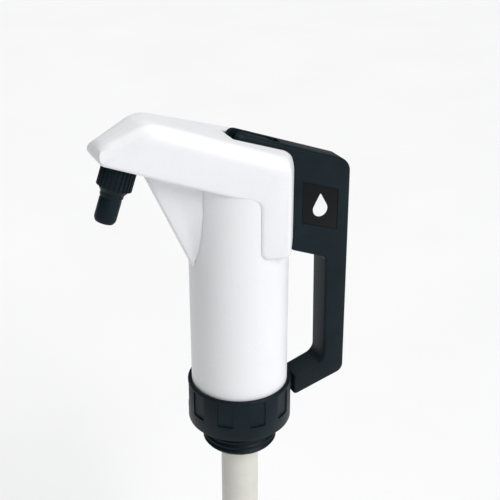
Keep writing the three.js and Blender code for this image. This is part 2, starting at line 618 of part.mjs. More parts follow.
const threadStep = (COLLAR_Z - FIT - THREAD_FOOT_Z - 3) / THREAD_TURNS;
const TUBE_BORE_R = TUBE_R + FIT;
part('bung_adaptor', turned([
  [TUBE_BORE_R, THREAD_FOOT_Z], [THREAD_R - THREAD_DEPTH, THREAD_FOOT_Z],
  ...Array.from({ length: THREAD_TURNS }, (_, i) => {
    const z = THREAD_FOOT_Z + 0.8 + i * threadStep;
    return [[THREAD_R - THREAD_DEPTH, z], [THREAD_R, z + threadStep * 0.35],
      [THREAD_R, z + threadStep * 0.5], [THREAD_R - THREAD_DEPTH, z + threadStep * 0.85]];
  }).flat(),
  [THREAD_R - THREAD_DEPTH, GASKET_H + 0.1], [38.4, GASKET_H + 0.1], [38.4, 5.1], [NECK_R, 5.1],
  [NECK_R, 9.6], [35.6, 9.6], [35.6, 13], [FOOT_PORT_R, 13], [FOOT_PORT_R, TUBE_TOP_Z + FIT],
  [TUBE_BORE_R, TUBE_TOP_Z + FIT], [TUBE_BORE_R, THREAD_FOOT_Z],
], FINE), BLACK);
part('bung_gasket', ring(THREAD_R + 0.2, GASKET_R, 0, GASKET_H, FINE), RUBBER);
part('union_seal', ring(30, LAND_R - 1.2, 13 + SEAL_GAP, BARREL_FOOT_Z - SEAL_GAP, FINE), RUBBER);

function makeFootCage() {
  const top = 13 + FIT + DISC_THICK + FOOT_LIFT;
  const body = turned([
    [FOOT_DISC_R + 0.8, 13 + FIT / 2], [24, 13 + FIT / 2], [24, 16], [FOOT_DISC_R + 3.4, 18.5],
    [FOOT_DISC_R + 3.4, top + 3], [5, top + 3], [5, top + 0.6], [FOOT_DISC_R + 0.8, top + 0.6],
    [FOOT_DISC_R + 0.8, 13 + FIT / 2],
  ]);
  const windows = [0, 1].map((i) => closed(
    new THREE.BoxGeometry(60, 16, top - 16.4).translate(0, 0, (top + 17.2) / 2).rotateZ((i * Math.PI) / 2),
  ));
  const ports = [0, 1, 2, 3].map((i) => closed(
    rod(3, top, top + 6, 16).translate(11.5, 0, 0).rotateZ(((i + 0.5) * Math.PI) / 2),
  ));
  return cut(body, ...windows, ...ports);
}
part('foot_valve_cage', makeFootCage(), NATURAL);
part('foot_valve_disc', rod(FOOT_DISC_R, 13 + FIT / 2, 13 + FIT / 2 + DISC_THICK), RUBBER);

// ---------------------------------------------------------------- suction tube
const tubeR = (i) => TUBE_R - i * TUBE_STEP;
const tubeFoot = (i) => TUBE_FOOT_Z - i * TUBE_STAGGER;
const TUBE_HEAD = [TUBE_TOP_Z, -14, -23];

function makeTube(i) {
  const r = tubeR(i);
  const foot = tubeFoot(i);
  const bead = i ? [[r, TUBE_HEAD[i] - 3.4], [r + 0.4, TUBE_HEAD[i] - 3], [r + 0.4, TUBE_HEAD[i]]] : [[r, TUBE_HEAD[i]]];
  return turned([
    [r - TUBE_WALL, foot], [r, foot], ...bead, [r - TUBE_WALL, TUBE_HEAD[i]], [r - TUBE_WALL, foot],
  ], ROUND);
}

/** Cap on the foot of a section: it grips the section and guides the next one. */
function makeTubeCap(i) {
  const r = tubeR(i);
  const foot = tubeFoot(i);
  const capTop = TUBE_STAGGER - 4;
  return turned([
    [tubeR(i + 1) + SEAL_GAP, foot - 3], [r + 1.6, foot - 3], [r + 2.2, foot - 2.2],
    [r + 2.2, foot + capTop - 1], [r + 1.6, foot + capTop], [r + SEAL_GAP, foot + capTop],
    [r + SEAL_GAP, foot - FIT / 2], [tubeR(i + 1) + SEAL_GAP, foot - FIT / 2], [tubeR(i + 1) + SEAL_GAP, foot - 3],
  ], ROUND);
}

['upper_tube', 'middle_tube', 'lower_tube'].forEach((name, i) => part(name, makeTube(i), NATURAL));
['upper_tube_cap', 'middle_tube_cap'].forEach((name, i) => part(name, makeTubeCap(i), BLACK));

function makeStrainer() {
  const r = tubeR(2);
  const top = tubeFoot(2) + 4;
  const body = turned([
    [r + SEAL_GAP, top], [r + 2, top], [r + 2, top - 26], [r - 1, top - 30], [0, top - 30],
    [0, top - 28], [r - 2.4, top - 28], [r - 2.4, tubeFoot(2) - FIT / 2],
    [r + SEAL_GAP, tubeFoot(2) - FIT / 2], [r + SEAL_GAP, top],
  ], ROUND);
  const slits = [0, 1, 2].flatMap((k) => [0, 1, 2, 3].map((i) => closed(
    new THREE.BoxGeometry(40, 3, 5).translate(0, 0, top - 11 - k * 7).rotateZ((i * Math.PI) / 4),
  )));
  return cut(body, ...slits);
}
part('foot_strainer', makeStrainer(), BLACK);

export default root;
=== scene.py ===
"""Lever barrel pump: the visual model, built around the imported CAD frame."""
from __future__ import annotations

import logging
import math
from dataclasses import dataclass
from enum import Enum
from typing import Callable, Iterable, Sequence

import bmesh
import bpy
from mathutils import Matrix, Vector


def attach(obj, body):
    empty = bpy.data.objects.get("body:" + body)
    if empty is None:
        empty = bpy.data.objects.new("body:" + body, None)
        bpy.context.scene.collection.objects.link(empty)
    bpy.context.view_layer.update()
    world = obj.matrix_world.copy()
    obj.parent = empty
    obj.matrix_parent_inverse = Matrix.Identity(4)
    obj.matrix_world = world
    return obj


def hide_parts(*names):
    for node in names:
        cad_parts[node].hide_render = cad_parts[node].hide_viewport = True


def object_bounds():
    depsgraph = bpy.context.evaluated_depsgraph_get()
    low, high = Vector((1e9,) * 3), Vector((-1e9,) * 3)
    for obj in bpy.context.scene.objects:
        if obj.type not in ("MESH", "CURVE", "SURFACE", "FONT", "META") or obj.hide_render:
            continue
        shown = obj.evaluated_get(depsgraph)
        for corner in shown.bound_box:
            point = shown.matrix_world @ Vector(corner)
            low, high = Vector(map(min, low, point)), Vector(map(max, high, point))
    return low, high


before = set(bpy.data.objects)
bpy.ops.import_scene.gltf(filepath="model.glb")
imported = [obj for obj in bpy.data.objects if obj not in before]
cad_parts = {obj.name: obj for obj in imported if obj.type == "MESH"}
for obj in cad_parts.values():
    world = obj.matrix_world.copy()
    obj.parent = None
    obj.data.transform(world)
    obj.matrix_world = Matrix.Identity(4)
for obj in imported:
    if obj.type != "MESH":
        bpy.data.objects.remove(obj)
CAD_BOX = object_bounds()

LOG = logging.getLogger("pump")
MM = 0.001
SHARP = math.radians(35)
Point = Sequence[float]
Corner = tuple[float, float, float]


# ---------------------------------------------------------------- shading


class Value:
    """A float socket that takes arithmetic and adds its Math nodes."""

    def __init__(self, shader: "Shader", socket: bpy.types.NodeSocket) -> None:
        """Wrap one output socket of a shader's tree."""
        self.shader = shader
        self.socket = socket

    def _maths(self, operation: str, first: object, second: object) -> "Value":
        """Add one Math node.

        Args:
            operation: the Math node's operation.
            first: number, Value or socket for the first input.
            second: the same for the second input.

        Returns:
            The node's result.
        """
        node = self.shader.node("ShaderNodeMath", {"operation": operation}, {0: first, 1: second})
        return Value(self.shader, node.outputs[0])

    def __add__(self, other: object) -> "Value":
        """Sum."""
        return self._maths("ADD", self, other)

    def __mul__(self, other: object) -> "Value":
        """Product."""
        return self._maths("MULTIPLY", self, other)


class Shader:
    """A node material with a Principled shader on Object coordinates."""

    def __init__(self, name: str) -> None:
        """Start an empty material of this name."""
        self.material = bpy.data.materials.new(name)
        self.material.use_nodes = True
        self.tree = self.material.node_tree
        self.tree.nodes.clear()
        self.surface = self.node("ShaderNodeBsdfPrincipled", {}, {})
        self.node("ShaderNodeOutputMaterial", {}, {"Surface": self.surface.outputs["BSDF"]})
        self.place = self.node("ShaderNodeTexCoord", {}, {}).outputs["Object"]

    def node(self, kind: str, settings: dict[str, object],
             sockets: dict[object, object]) -> bpy.types.Node:
        """Add a node, set it up and feed it.

        Args:
            kind: the node's type.
            settings: properties set first; "stops" fills a colour ramp.
            sockets: input name or number to a value, Value, or socket.

        Returns:
            The new node.
        """
        made = self.tree.nodes.new(kind)
        for key, value in settings.items():
            if key == "stops":
                ramp = made.color_ramp
                for at, (spot, colour) in enumerate(value):
                    stop = ramp.elements[at] if at < 2 else ramp.elements.new(spot)
                    stop.position, stop.color = spot, (*colour, 1.0)
            else:
                setattr(made, key, value)
        for key, value in sockets.items():
            if isinstance(value, Value):
                value = value.socket
            if isinstance(value, bpy.types.NodeSocket):
                self.tree.links.new(value, made.inputs[key])
            else:
                made.inputs[key].default_value = value
        return made

    def noise(self, scale: float, detail: float = 3.0, rough: float = 0.5) -> Value:
        """Noise value between 0 and 1 on Object coordinates.

        Args:
            scale: size of the pattern, cells per metre.
            detail: octaves.
            rough: roughness of the octaves.

        Returns:
            The noise value.
        """
        made = self.node("ShaderNodeTexNoise", {}, {
            "Vector": self.place, "Scale": scale, "Detail": detail, "Roughness": rough})
        return Value(self, made.outputs[0])

    def tone(self, factor: Value, dark: Point, light: Point, low: float = 0.3,
             high: float = 0.7) -> bpy.types.NodeSocket:
        """Colour between two tones.

        Args:
            factor: what chooses the tone.
            dark: colour at the low stop.
            light: colour at the high stop.
            low: place of the low stop.
            high: place of the high stop.

        Returns:
            The colour socket.
        """
        ramp = self.node("ShaderNodeValToRGB", {"stops": [(low, dark), (high, light)]}, {"Fac": factor})
        return ramp.outputs["Color"]

    def bump(self, height: Value, depth: float, strength: float = 1.0) -> None:
        """Raise the surface by a height map.

        Args:
            height: value between 0 and 1.
            depth: how far 1 stands above 0, in metres.
            strength: how much of it shows.
        """
        made = self.node("ShaderNodeBump", {}, {
            "Height": height, "Distance": depth, "Strength": strength})
        self.tree.links.new(made.outputs["Normal"], self.surface.inputs["Normal"])

    def feed(self, **sockets: object) -> None:
        """Set or link sockets of the Principled shader; underscores stand for spaces."""
        for key, value in sockets.items():
            slot = self.surface.inputs[key.replace("_", " ")]
            if isinstance(value, Value):
                value = value.socket
            if isinstance(value, bpy.types.NodeSocket):
                self.tree.links.new(value, slot)
            else:
                slot.default_value = value


def shade(colour: Point, by: float) -> tuple[float, ...]:
    """Scale a colour's brightness."""
    return tuple(min(1.0, c * by) for c in colour)


@dataclass(frozen=True)
class MouldedPlastic:
    """Injection-moulded plastic: a soft mottle, a fine grain and faint flow waves."""

    name: str
    slot: str
    colour: tuple[float, float, float]
    roughness: float = 0.45
    variation: float = 0.04
    grain: float = 900.0
    grain_depth: float = 0.00006
    wave: float = 60.0
    wave_depth: float = 0.00012
    speckle: float = 0.0
    scuffs: float = 0.0
    gloss: float = 0.45

    def material(self) -> bpy.types.Material:
        """Build the node material."""
        s = Shader(self.name)
        mottle = s.noise(38.0, 4.0, 0.6)
        fine = s.noise(self.grain, 2.0)
        colour = s.tone(mottle * (1 - self.speckle) + fine * self.speckle,
                        shade(self.colour, 1 - self.variation), shade(self.colour, 1 + self.variation))
        rough = mottle * 0.1 + (self.roughness - 0.05)
        height = fine * (self.grain_depth / self.wave_depth) + s.noise(self.wave, 2.0)
        if self.scuffs:
            streak = s.noise(190.0, 6.0, 0.75)
            worn = s.node("ShaderNodeMapRange", {"clamp": True}, {
                "Value": streak, "From Min": 0.62, "From Max": 0.74})
            mark = Value(s, worn.outputs["Result"]) * self.scuffs
            rough = rough + mark * 0.25
            mix = s.node("ShaderNodeMix", {"data_type": "RGBA"}, {
                0: mark, 6: colour, 7: (*shade(self.colour, 2.4), 1.0)})
            colour = mix.outputs[2]
        s.feed(Base_Color=colour, Roughness=rough, Specular_IOR_Level=self.gloss)
        s.bump(height, self.wave_depth)
        return s.material


@dataclass(frozen=True)
class MouldedRubber:
    """Matt black rubber with a dusty bloom."""

    name: str
    slot: str
    colour: tuple[float, float, float] = (0.03, 0.03, 0.032)

    def material(self) -> bpy.types.Material:
        """Build the node material."""
        s = Shader(self.name)
        bloom = s.noise(70.0, 5.0, 0.65)
        s.feed(Base_Color=s.tone(bloom, self.colour, shade(self.colour, 1.9)),
               Roughness=bloom * 0.2 + 0.68, Specular_IOR_Level=0.3)
        s.bump(s.noise(1400.0, 2.0), 0.00004)
        return s.material


@dataclass(frozen=True)
class TurnedSteel:
    """Bright steel with fine turning marks round its axis."""

    name: str
    slot: str
    colour: tuple[float, float, float] = (0.62, 0.63, 0.65)

    def material(self) -> bpy.types.Material:
        """Build the node material."""
        s = Shader(self.name)
        stretch = s.node("ShaderNodeMapping", {}, {"Vector": s.place, "Scale": (1.0, 1.0, 30.0)})
        lines = s.node("ShaderNodeTexNoise", {}, {
            "Vector": stretch.outputs[0], "Scale": 60.0, "Detail": 3.0})
        marks = Value(s, lines.outputs[0])
        s.feed(Base_Color=s.tone(marks, shade(self.colour, 0.85), self.colour),
               Roughness=marks * 0.2 + 0.2, Metallic=1.0)
        s.bump(marks, 0.00003)
        return s.material


WHITE = MouldedPlastic("white_polypropylene", "white_pp", (0.84, 0.85, 0.87), roughness=0.42,
                       variation=0.02, grain=800.0, grain_depth=0.00007, speckle=0.5)
BLACK = MouldedPlastic("black_polypropylene", "black_pp", (0.0042, 0.0115, 0.016), roughness=0.47,
                       gloss=0.13, variation=0.25, grain=1100.0, grain_depth=0.00006, scuffs=0.3)
PLATE = MouldedPlastic("label_plate", "label_black", (0.003, 0.004, 0.0042), roughness=0.36, gloss=0.14,
                       variation=0.2, grain=1500.0, grain_depth=0.00002, wave_depth=0.00006)
MARK = MouldedPlastic("label_mark", "label_black", (0.8, 0.81, 0.82), roughness=0.4,
                      variation=0.03, grain=1500.0, grain_depth=0.00002, wave_depth=0.00005)
NATURAL = MouldedPlastic("natural_polypropylene", "natural_pp", (0.66, 0.65, 0.59), roughness=0.4,
                         variation=0.05, grain=700.0, grain_depth=0.00005)
RUBBER = MouldedRubber("seal_rubber", "rubber")
STEEL = TurnedSteel("turned_steel", "steel")
Finish = MouldedPlastic | MouldedRubber | TurnedSteel


class Finishes:
    """Makes each finish's material once."""

    made: dict[str, bpy.types.Material] = {}

    @classmethod
    def get(cls, finish: Finish) -> bpy.types.Material:
        """Material of a finish, built on first use."""
        if finish.name not in cls.made:
            cls.made[finish.name] = finish.material()
        return cls.made[finish.name]

    @classmethod
    def coat(cls, nodes: Iterable[str], finish: Finish) -> None:
        """Give carried-over CAD nodes a finish.

        Args:
            nodes: names of the CAD nodes.
            finish: what they are made of.
        """
        for name in nodes:
            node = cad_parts[name]
            node = bpy.data.objects[node] if isinstance(node, str) else node
            if not node.material_slots:
                node.data.materials.append(None)
            for slot in node.material_slots:
                slot.material = cls.get(finish)
            LOG.info("coated %s with %s", name, finish.name)


# ---------------------------------------------------------------- bench tools


class Join(Enum):
    """How one solid acts on another."""

    ADD = "UNION"
    CUT = "DIFFERENCE"
    KEEP = "INTERSECT"


class Bench:
    """Modelling steps on Blender's own operators. Sizes are in millimetres."""

    @staticmethod
    def clear() -> None:
        """Leave edit mode with nothing selected."""
        if bpy.context.object and bpy.context.object.mode != "OBJECT":
            bpy.ops.object.mode_set(mode="OBJECT")
        bpy.ops.object.select_all(action="DESELECT")

    @staticmethod
    def take(piece: bpy.types.Object) -> None:
        """Make one piece the only selected and active one."""
        Bench.clear()
        piece.select_set(True)
        bpy.context.view_layer.objects.active = piece

    @staticmethod
    def edit(piece: bpy.types.Object, mode: str = "EDGE") -> bmesh.types.BMesh:
        """Enter edit mode on one piece with nothing selected.

        Args:
            piece: what to edit.
            mode: select mode, VERT, EDGE or FACE.

        Returns:
            The piece's edit mesh.
        """
        Bench.take(piece)
        bpy.ops.object.mode_set(mode="EDIT")
        bpy.ops.mesh.select_mode(type=mode)
        bpy.ops.mesh.select_all(action="DESELECT")
        return bmesh.from_edit_mesh(piece.data)

    @staticmethod
    def name_it(name: str) -> bpy.types.Object:
        """Name the active object and set its place into its mesh."""
        piece = bpy.context.object
        piece.name = piece.data.name = name
        bpy.ops.object.transform_apply(location=True, rotation=True, scale=True)
        return piece

    @staticmethod
    def block(name: str, low: Point, high: Point) -> bpy.types.Object:
        """Rectangular block between two corners."""
        Bench.clear()
        centre = [(a + b) / 2 * MM for a, b in zip(low, high)]
        bpy.ops.mesh.primitive_cube_add(size=1, location=centre,
                                        scale=[(b - a) * MM for a, b in zip(low, high)])
        return Bench.name_it(name)

    @staticmethod
    def bar(name: str, radius: float, low: float, high: float, at: Point = (0, 0),
            sides: int = 48) -> bpy.types.Object:
        """Upright round bar.

        Args:
            name: object name.
            radius: radius of the bar.
            low: z of its foot.
            high: z of its head.
            at: x and y of its axis.
            sides: number of sides.

        Returns:
            The bar.
        """
        Bench.clear()
        bpy.ops.mesh.primitive_cylinder_add(
            vertices=sides, radius=radius * MM, depth=(high - low) * MM,
            location=(at[0] * MM, at[1] * MM, (low + high) / 2 * MM))
        return Bench.name_it(name)

    @staticmethod
    def carve(piece: bpy.types.Object, point: Point, normal: Point) -> None:
        """Slice a solid on a plane and close it.

        Args:
            piece: the solid.
            point: a point on the plane.
            normal: points at the side that is dropped.
        """
        Bench.edit(piece)
        bpy.ops.mesh.select_all(action="SELECT")
        bpy.ops.mesh.bisect(plane_co=[c * MM for c in point], plane_no=normal,
                            use_fill=True, clear_outer=True, clear_inner=False, threshold=1e-7)
        bpy.ops.mesh.select_all(action="SELECT")
        bpy.ops.mesh.remove_doubles(threshold=1e-6)
        bpy.ops.mesh.normals_make_consistent(inside=False)
        bpy.ops.object.mode_set(mode="OBJECT")

    @staticmethod
    def plate(name: str, corners: Sequence[Corner], y0: float, y1: float,
              steps: int = 8) -> bpy.types.Object:
        """Plate with a side outline and rounded corners, pushed out along Y.

        Args:
            name: object name.
            corners: outline as (x, z, radius).
            y0: first face.
            y1: second face.
            steps: segments in each rounded corner.

        Returns:
            The plate.
        """
        Bench.clear()
        bpy.ops.mesh.primitive_circle_add(vertices=len(corners), radius=MM, fill_type="NGON")
        piece = Bench.name_it(name)
        mesh = Bench.edit(piece, "VERT")
        for vert, (x, z, _) in zip(mesh.verts, corners):
            vert.co = Vector((x, y0, z)) * MM
        bmesh.update_edit_mesh(piece.data)
        count = len(corners)
        for at, (x, z, radius) in enumerate(corners):
            if not radius:
                continue
            here = Vector((x, z))
            before = (Vector(corners[at - 1][:2]) - here)
            after = (Vector(corners[(at + 1) % count][:2]) - here)
            reach = min(radius / math.tan(before.angle(after) / 2),
                        before.length * 0.8, after.length * 0.8)
            mesh = bmesh.from_edit_mesh(piece.data)
            spot = Vector((x, y0, z)) * MM
            for vert in mesh.verts:
                vert.select = (vert.co - spot).length < 1e-7
            mesh.select_flush_mode()
            bpy.ops.mesh.bevel(offset=reach * MM, offset_type="OFFSET", segments=steps,
                               affect="VERTICES", clamp_overlap=False)
        bpy.ops.mesh.select_mode(type="FACE")
        bpy.ops.mesh.select_all(action="SELECT")
        bpy.ops.mesh.extrude_region_move(TRANSFORM_OT_translate={"value": (0, (y1 - y0) * MM, 0)})
        bpy.ops.mesh.select_all(action="SELECT")
        bpy.ops.mesh.normals_make_consistent(inside=False)
        bpy.ops.object.mode_set(mode="OBJECT")
        return piece

    @staticmethod
    def turned(name: str, profile: Sequence[tuple[float, float]], sides: int = 96) -> bpy.types.Object:
        """Turned part: a circle pulled along its profile about the Z axis.

        Args:
            name: object name.
            profile: (radius, z) points, ending on the axis or on the first point.
            sides: number of sides.

        Returns:
            The turned part.
        """
        Bench.clear()
        tiny = 1e-4
        radius, z = profile[0]
        bpy.ops.mesh.primitive_circle_add(vertices=sides, radius=max(radius, tiny) * MM,
                                          location=(0, 0, z * MM), fill_type="NOTHING")
        piece = Bench.name_it(name)
        Bench.edit(piece)
        bpy.ops.mesh.select_all(action="SELECT")
        for next_radius, next_z in profile[1:]:
            rise = (next_z - z) * MM
            bpy.ops.mesh.extrude_region_move(TRANSFORM_OT_translate={"value": (0, 0, rise)})
            grow = max(next_radius, tiny) / max(radius, tiny)
            bpy.ops.transform.resize(value=(grow, grow, 1), center_override=(0, 0, next_z * MM))
            radius, z = next_radius, next_z
        bpy.ops.mesh.select_all(action="SELECT")
        bpy.ops.mesh.remove_doubles(threshold=5e-7)
        bpy.ops.mesh.normals_make_consistent(inside=False)
        bpy.ops.object.mode_set(mode="OBJECT")
        return piece

    @staticmethod
    def loft(name: str, rings: Sequence[Sequence[Corner]]) -> bpy.types.Object:
        """Solid pulled through a stack of outlines with the same number of points.

        Args:
            name: object name.
            rings: the outlines, each a list of (x, y, z).

        Returns:
            The solid.
        """
        Bench.clear()
        bpy.ops.mesh.primitive_circle_add(vertices=len(rings[0]), radius=MM, fill_type="NGON")
        piece = Bench.name_it(name)
        mesh = Bench.edit(piece, "VERT")
        for vert, spot in zip(mesh.verts, rings[0]):
            vert.co = Vector(spot) * MM
        bmesh.update_edit_mesh(piece.data)
        bpy.ops.mesh.select_mode(type="FACE")
        bpy.ops.mesh.select_all(action="SELECT")
        for before, after in zip(rings, rings[1:]):
            bpy.ops.mesh.extrude_region_move(TRANSFORM_OT_translate={"value": (0, 0, 0)})
            mesh = bmesh.from_edit_mesh(piece.data)
            for vert in [v for v in mesh.verts if v.select]:
                at = min(range(len(before)), key=lambda k: (vert.co - Vector(before[k]) * MM).length)
                vert.co = Vector(after[at]) * MM
            bmesh.update_edit_mesh(piece.data)
        bpy.ops.mesh.select_all(action="SELECT")
        bpy.ops.mesh.normals_make_consistent(inside=False)
        bpy.ops.object.mode_set(mode="OBJECT")
        return piece

    @staticmethod
    def combine(piece: bpy.types.Object, tool: bpy.types.Object, how: Join) -> None:
        """Join, cut or trim a solid with another, which is used up.

        Args:
            piece: the solid that is kept.
            tool: the solid that acts on it.
            how: what it does.
        """
        Bench.take(piece)
        step = piece.modifiers.new("combine", "BOOLEAN")
        step.operation, step.solver, step.object = how.value, "MANIFOLD", tool
        bpy.ops.object.modifier_apply(modifier=step.name)
        bpy.data.objects.remove(tool, do_unlink=True)

    @staticmethod
    def round_edges(piece: bpy.types.Object, chosen: Callable[[bmesh.types.BMEdge], bool],
                    radius: float, steps: int = 5) -> None:
        """Bevel the edges that a test picks.

        Args:
            piece: the solid.
            chosen: says whether an edge is bevelled.
            radius: bevel width.
            steps: segments.
        """
        mesh = Bench.edit(piece)
        for edge in mesh.edges:
            edge.select = chosen(edge)
        mesh.select_flush_mode()
        bpy.ops.mesh.bevel(offset=radius * MM, segments=steps, affect="EDGES", clamp_overlap=True)
        bpy.ops.object.mode_set(mode="OBJECT")

    @staticmethod
    def soften(piece: bpy.types.Object, radius: float, steps: int = 3, angle: float = 30) -> None:
        """Round every edge sharper than an angle with a Bevel modifier."""
        Bench.take(piece)
        step = piece.modifiers.new("soften", "BEVEL")
        step.width, step.segments = radius * MM, steps
        step.limit_method, step.angle_limit = "ANGLE", math.radians(angle)
        step.miter_outer = "MITER_ARC"
        step.use_clamp_overlap = False
        bpy.ops.object.modifier_apply(modifier=step.name)

    @staticmethod
    def copy(piece: bpy.types.Object, name: str, change: Matrix) -> bpy.types.Object:
        """Copy with its own mesh, moved by a matrix in millimetres.

        Args:
            piece: what is copied.
            name: name of the copy.
            change: where it goes.

        Returns:
            The copy.
        """
        made = piece.copy()
        made.data = piece.data.copy()
        made.name = made.data.name = name
        bpy.context.collection.objects.link(made)
        Bench.put(made, change)
        return made

    @staticmethod
    def put(piece: bpy.types.Object, change: Matrix) -> None:
        """Move a piece's mesh by a matrix in millimetres, faces kept outward."""
        change = Matrix.Translation(change.to_translation() * MM) @ change.to_3x3().to_4x4()
        piece.data.transform(change)
        if change.determinant() < 0:
            Bench.edit(piece)
            bpy.ops.mesh.select_all(action="SELECT")
            bpy.ops.mesh.normals_make_consistent(inside=False)
            bpy.ops.object.mode_set(mode="OBJECT")

    @staticmethod
    def done(piece: bpy.types.Object, finish: Finish, body: str,
             nodes: Sequence[str] = ()) -> bpy.types.Object:
        """Smooth, dress and declare a finished piece.

        Args:
            piece: the finished piece.
            finish: what it is made of.
            body: the CAD body it rides on.
            nodes: CAD nodes it stands for.

        Returns:
            The piece.
        """
        Bench.take(piece)
        bpy.ops.object.shade_smooth_by_angle(angle=SHARP)
        piece.data.materials.clear()
        piece.data.materials.append(Finishes.get(finish))
        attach(piece, body)
        if nodes:
            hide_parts(*nodes)
        LOG.info("%s: %d faces", piece.name, len(piece.data.polygons))
        return piece


MIRROR = Matrix.Scale(-1, 4, (0, 1, 0))
OUTLET_X = -88.6


# ---------------------------------------------------------------- barrel and head


@dataclass
class Head:
    """White barrel, spout, cheeks and riser web."""

    barrel_r: float = 38.0
    bore_r: float = 35.0
    shoulder_r: float = 33.0
    land_r: float = 36.4
    foot_z: float = 15.3
    rim_z: float = 162.5
    shoulder_z: float = 160.5
    slope: float = 0.35
    under_z: float = 199.0
    brow: tuple[float, float] = (-71.0, 262.3)
    nose: tuple[float, float, float] = (-108.4, -105.6, 246.6)
    back_x: float = 38.2
    cheek_z: float = 155.0
    half_w: float = 39.2
    taper: float = 0.205
    wall: float = 3.1
    edge_r: float = 13.0
    skin: float = 4.6
    seat_edge_r: float = 3.6
    seam: float = 0.15
    clear: float = 0.02
    brow_reach: float = 8.5
    sleeve_z: float = 140.0
    stations: tuple[float, ...] = (-112, -106, -98, -88, -79.5, -76, -73, -70, -67, -62.5, -40, -15, 10,
                                   21.8, 24.6, 30, 36.4, 38.2)
    part_x: float = -30.3
    slot_x: float = -9.0
    slot_half_w: float = 12.0
    outlet_r: float = 9.7
    pivot: tuple[float, float] = (28.0, 213.0)
    ear_r: float = 8.5
    pin_r: float = 4.3
    web_foot: tuple[float, float] = (-37.2, 141.0)
    web_run: tuple[float, float] = (-37.8, 85.0)
    web_half_w: float = 5.8
    web_levels: tuple[tuple[float, float], ...] = (
        (139.5, 8.6), (144.0, 11.7), (151.0, 13.2), (159.5, 14.5), (173.5, 16.4), (189.5, 17.3),
        (206.0, 17.3), (228.0, 17.3))
    back_planes: tuple[tuple[float, float, float, float], ...] = (
        (21.8, 43.0, 24.6, 39.0), (24.6, 39.0, 36.4, 18.0), (36.4, 18.0, 38.2, 12.0))

    def top(self, x: float) -> float:
        """Height of the spout's top line."""
        return self.brow[1] - self.slope * (x - self.brow[0])

    def under(self, x: float) -> float:
        """Height of the spout's underside."""
        return self.under_z - self.slope * x

    def carve_sides(self, piece: bpy.types.Object, inset: float = 0.0) -> None:
        """Cut the tapered sides and the chamfered back of the head."""
        out = math.hypot(1, self.taper)
        for side in (-1, 1):
            Bench.carve(piece, (0, side * (self.half_w - inset * out), 0), (-self.taper, side, 0))
            for x0, y0, x1, y1 in self.back_planes:
                normal = Vector((y0 - y1, side * (x1 - x0), 0)).normalized()
                at = Vector((x0, side * y0, 0)) - normal * inset
                Bench.carve(piece, at, normal)

    def web(self, name: str, inset: float) -> bpy.types.Object:
        """Riser web: narrow in front, with flanks that sweep out toward the barrel.

        Args:
            name: object name.
            inset: how far inside the outer skin.

        Returns:
            The web as a solid.
        """
        rings = []
        foot_x, foot_z = self.web_foot
        for z, wide in self.web_levels:
            front = foot_x + (z - foot_z) * self.web_run[0] / self.web_run[1] + inset
            slim, wide = self.web_half_w - inset, wide - inset
            start = front + 2.4
            run = -math.sqrt(self.barrel_r ** 2 - wide ** 2) + 0.6 - start
            half = [(front, slim * 0.45), (front + 0.7, slim * 0.82), (start, slim)]
            half += [(start + run * t, slim + (wide - slim) * t ** 1.7)
                     for t in (0.25, 0.5, 0.7, 0.86, 1.0)]
            half.append((max(-28.0, start + run + 1.0), wide))
            rings.append([(x, -y, z) for x, y in half] + [(x, y, z) for x, y in reversed(half)])
        return Bench.loft(name, rings)

    def crest(self, x: float) -> float:
        """Height of the top outline, nose slope and rounded brow included."""
        rise = (self.brow[1] - self.nose[2]) / (self.brow[0] - self.nose[1])
        along, soft = x - self.brow[0], self.brow_reach
        if abs(along) < soft:
            return self.brow[1] + rise * along - (self.slope + rise) * (along + soft) ** 2 / (4 * soft)
        return self.brow[1] + (rise if along < 0 else -self.slope) * along

    def breadth(self, x: float) -> float:
        """Half width of the head, with its chamfered back."""
        for x0, y0, x1, y1 in self.back_planes:
            if x0 <= x <= x1:
                return y0 + (y1 - y0) * (x - x0) / (x1 - x0)
        return self.half_w + self.taper * x

    def envelope(self) -> bpy.types.Object:
        """Arched sleeve that gives the top its wide soft shoulders."""
        rings = []
        for x in self.stations:
            wide, high = self.breadth(x) + self.clear, self.crest(x) + self.clear
            r = min(self.edge_r, wide * 0.7)
            half = [(wide - r + r * math.sin(math.radians(a)), high - r + r * math.cos(math.radians(a)))
                    for a in range(0, 91, 9)]
            half.append((wide, self.sleeve_z))
            rings.append([(x, -y, z) for y, z in half] + [(x, y, z) for y, z in reversed(half)])
        return Bench.loft("envelope", rings)

    def outer(self) -> bpy.types.Object:
        """Outside of the head, with its soft edges, and the web."""
        nose_x, nose_top_x, nose_top_z = self.nose
        corners = [
            (nose_x, self.under(nose_x), 4.2), (nose_top_x, nose_top_z, 11.2), (*self.brow, 22.0),
            (self.back_x, self.top(self.back_x), 12.0), (self.back_x, self.cheek_z, 4.2),
            (-0.2, self.cheek_z, 7.0), (-0.2, self.under_z, 5.0)]
        piece = Bench.plate("head", corners, -60, 60, 12)
        self.carve_sides(piece)
        Bench.soften(piece, self.seat_edge_r, 5, 40)
        Bench.combine(piece, self.envelope(), Join.KEEP)
        Bench.combine(piece, self.web("web", 0.0), Join.ADD)
        return piece

